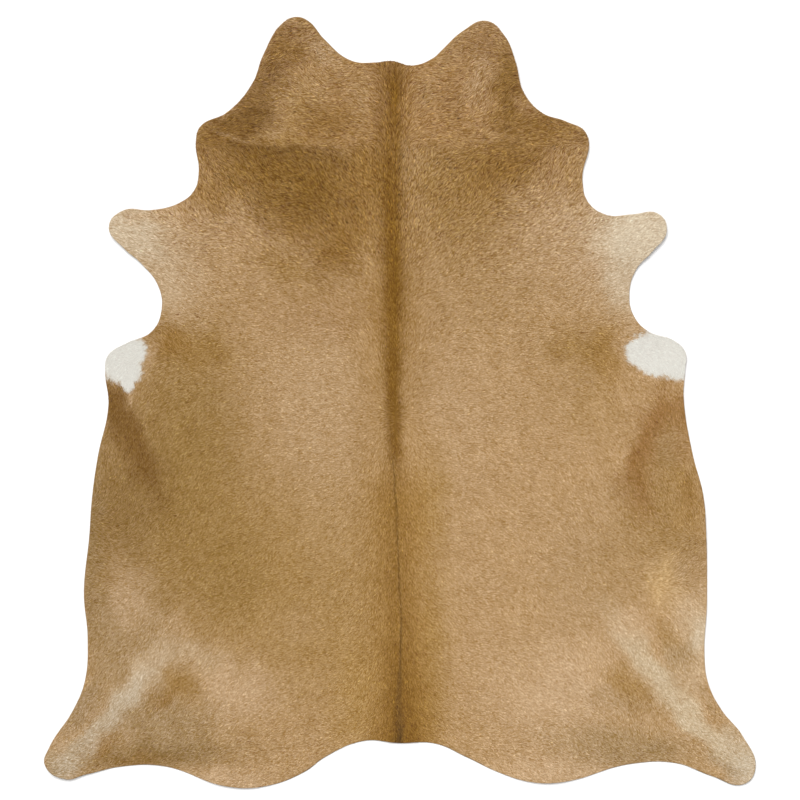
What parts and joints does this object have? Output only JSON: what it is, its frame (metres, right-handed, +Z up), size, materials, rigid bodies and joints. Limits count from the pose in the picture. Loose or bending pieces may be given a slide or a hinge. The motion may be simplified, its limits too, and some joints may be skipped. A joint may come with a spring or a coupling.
{
  "type": "cowhide rug",
  "caption": "Flat cowhide rug: a whole tanned hide with its short tan coat, cut to the animal's outline with head lobes, legs and rump.",
  "frame": {"origin": "on the floor, under the middle of the rug's length and width", "axes": "+Z up out of the coat, +Y along the backbone towards the head end, +X to the rug's right seen from above"},
  "size_m": [2.033, 2.2041, 0.013],
  "materials": {
    "tan_coat": "short smooth hair on tanned leather"
  },
  "bodies": {
    "root": {"hide": "tan_coat"}
  },
  "joints": []
}
